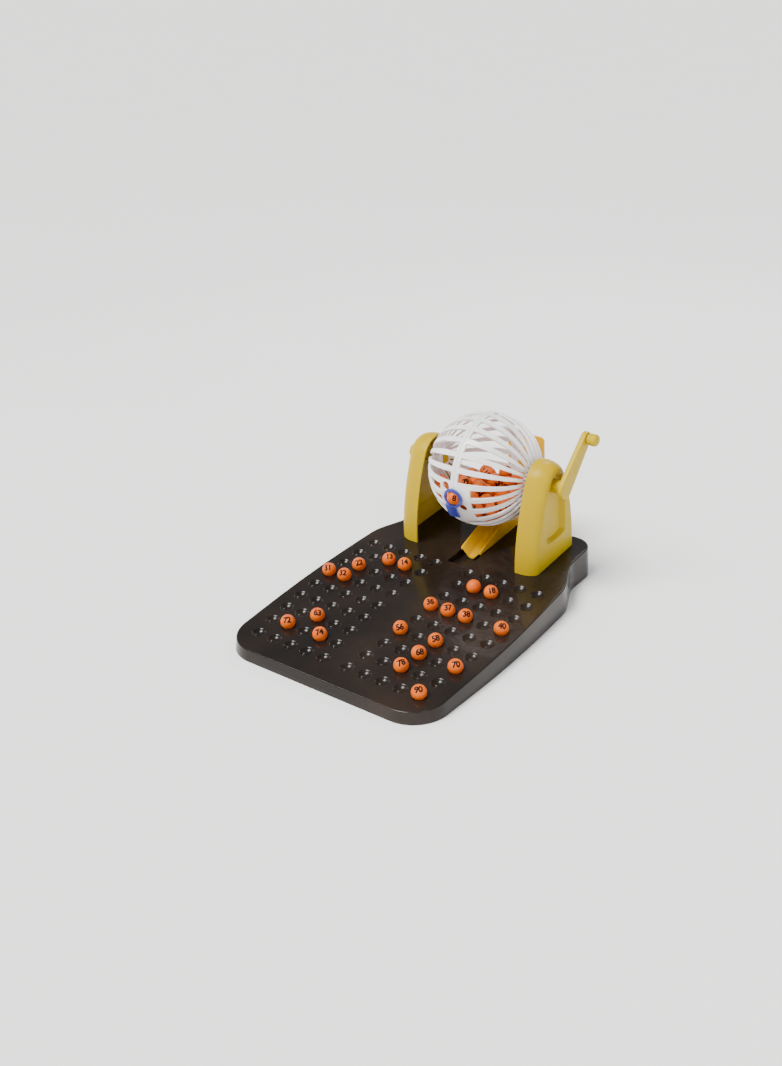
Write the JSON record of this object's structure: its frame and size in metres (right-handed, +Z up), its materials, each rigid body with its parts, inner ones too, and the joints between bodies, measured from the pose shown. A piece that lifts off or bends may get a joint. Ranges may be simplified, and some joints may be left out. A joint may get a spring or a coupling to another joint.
{
  "type": "bingo cage",
  "caption": "Hand-cranked ribbed ball cage on two stands, with a ball chute and a sloping tray of hollows that hold numbered balls.",
  "frame": {"origin": "centre of the overall box at the surface it stands on", "axes": "+X to the crank side, +Y to the back where the cage stands, +Z up"},
  "size_m": [0.2558, 0.3804, 0.1787],
  "materials": {
    "tray_black": "gloss",
    "yellow": "semi-gloss",
    "cage_white": "satin",
    "gate_blue": "semi-gloss",
    "ball_orange": "satin"
  },
  "bodies": {
    "base": {"base_tray": "tray_black", "stand_left": "yellow", "stand_right": "yellow", "ball_chute": "yellow"},
    "cage": {"cage_half_left": "cage_white", "cage_half_right": "cage_white", "axle_left": "yellow", "crank_handle": "yellow"},
    "knob": {"crank_knob": "yellow"},
    "gate": {"ball_gate": "gate_blue"},
    "gate_ball": {"gate_ball": "ball_orange"},
    "pile": {"ball_pile": "ball_orange"},
    "ball_13": {"ball_13": "ball_orange"},
    "ball_14": {"ball_14": "ball_orange"},
    "ball_17": {"ball_17": "ball_orange"},
    "ball_18": {"ball_18": "ball_orange"},
    "ball_22": {"ball_22": "ball_orange"},
    "ball_31": {"ball_31": "ball_orange"},
    "ball_32": {"ball_32": "ball_orange"},
    "ball_36": {"ball_36": "ball_orange"},
    "ball_37": {"ball_37": "ball_orange"},
    "ball_38": {"ball_38": "ball_orange"},
    "ball_40": {"ball_40": "ball_orange"},
    "ball_56": {"ball_56": "ball_orange"},
    "ball_58": {"ball_58": "ball_orange"},
    "ball_63": {"ball_63": "ball_orange"},
    "ball_68": {"ball_68": "ball_orange"},
    "ball_70": {"ball_70": "ball_orange"},
    "ball_72": {"ball_72": "ball_orange"},
    "ball_74": {"ball_74": "ball_orange"},
    "ball_78": {"ball_78": "ball_orange"},
    "ball_90": {"ball_90": "ball_orange"}
  },
  "joints": [
    {"name": "cage_spin", "type": "hinge", "parent": "base", "child": "cage", "pos_m": [0, 0.10238, 0.11732], "axis": [1, 0, 0], "continuous": true},
    {"name": "knob_spin", "type": "hinge", "parent": "cage", "child": "knob", "pos_m": [0.09568, 0.14283, 0.15864], "axis": [1, 0, 0], "continuous": true},
    {"name": "gate_flip", "type": "hinge", "parent": "cage", "child": "gate", "pos_m": [0, 0.05208, 0.08131], "axis": [1, 0, 0], "range_deg": [0, 60]},
    {"name": "exit_ball_out", "type": "slide", "parent": "cage", "child": "gate_ball", "axis": [0, -0.986, -0.1669], "range_m": [0, 0.012]},
    {"name": "pile_swing", "type": "hinge", "parent": "base", "child": "pile", "pos_m": [0, 0.10238, 0.11732], "axis": [1, 0, 0], "range_deg": [-25, 25]},
    {"name": "ball_13_lift", "type": "slide", "parent": "base", "child": "ball_13", "axis": [0, 0, 1], "range_m": [0, 0.03]},
    {"name": "ball_14_lift", "type": "slide", "parent": "base", "child": "ball_14", "axis": [0, 0, 1], "range_m": [0, 0.03]},
    {"name": "ball_17_lift", "type": "slide", "parent": "base", "child": "ball_17", "axis": [0, 0, 1], "range_m": [0, 0.03]},
    {"name": "ball_18_lift", "type": "slide", "parent": "base", "child": "ball_18", "axis": [0, 0, 1], "range_m": [0, 0.03]},
    {"name": "ball_22_lift", "type": "slide", "parent": "base", "child": "ball_22", "axis": [0, 0, 1], "range_m": [0, 0.03]},
    {"name": "ball_31_lift", "type": "slide", "parent": "base", "child": "ball_31", "axis": [0, 0, 1], "range_m": [0, 0.03]},
    {"name": "ball_32_lift", "type": "slide", "parent": "base", "child": "ball_32", "axis": [0, 0, 1], "range_m": [0, 0.03]},
    {"name": "ball_36_lift", "type": "slide", "parent": "base", "child": "ball_36", "axis": [0, 0, 1], "range_m": [0, 0.03]},
    {"name": "ball_37_lift", "type": "slide", "parent": "base", "child": "ball_37", "axis": [0, 0, 1], "range_m": [0, 0.03]},
    {"name": "ball_38_lift", "type": "slide", "parent": "base", "child": "ball_38", "axis": [0, 0, 1], "range_m": [0, 0.03]},
    {"name": "ball_40_lift", "type": "slide", "parent": "base", "child": "ball_40", "axis": [0, 0, 1], "range_m": [0, 0.03]},
    {"name": "ball_56_lift", "type": "slide", "parent": "base", "child": "ball_56", "axis": [0, 0, 1], "range_m": [0, 0.03]},
    {"name": "ball_58_lift", "type": "slide", "parent": "base", "child": "ball_58", "axis": [0, 0, 1], "range_m": [0, 0.03]},
    {"name": "ball_63_lift", "type": "slide", "parent": "base", "child": "ball_63", "axis": [0, 0, 1], "range_m": [0, 0.03]},
    {"name": "ball_68_lift", "type": "slide", "parent": "base", "child": "ball_68", "axis": [0, 0, 1], "range_m": [0, 0.03]},
    {"name": "ball_70_lift", "type": "slide", "parent": "base", "child": "ball_70", "axis": [0, 0, 1], "range_m": [0, 0.03]},
    {"name": "ball_72_lift", "type": "slide", "parent": "base", "child": "ball_72", "axis": [0, 0, 1], "range_m": [0, 0.03]},
    {"name": "ball_74_lift", "type": "slide", "parent": "base", "child": "ball_74", "axis": [0, 0, 1], "range_m": [0, 0.03]},
    {"name": "ball_78_lift", "type": "slide", "parent": "base", "child": "ball_78", "axis": [0, 0, 1], "range_m": [0, 0.03]},
    {"name": "ball_90_lift", "type": "slide", "parent": "base", "child": "ball_90", "axis": [0, 0, 1], "range_m": [0, 0.03]}
  ]
}
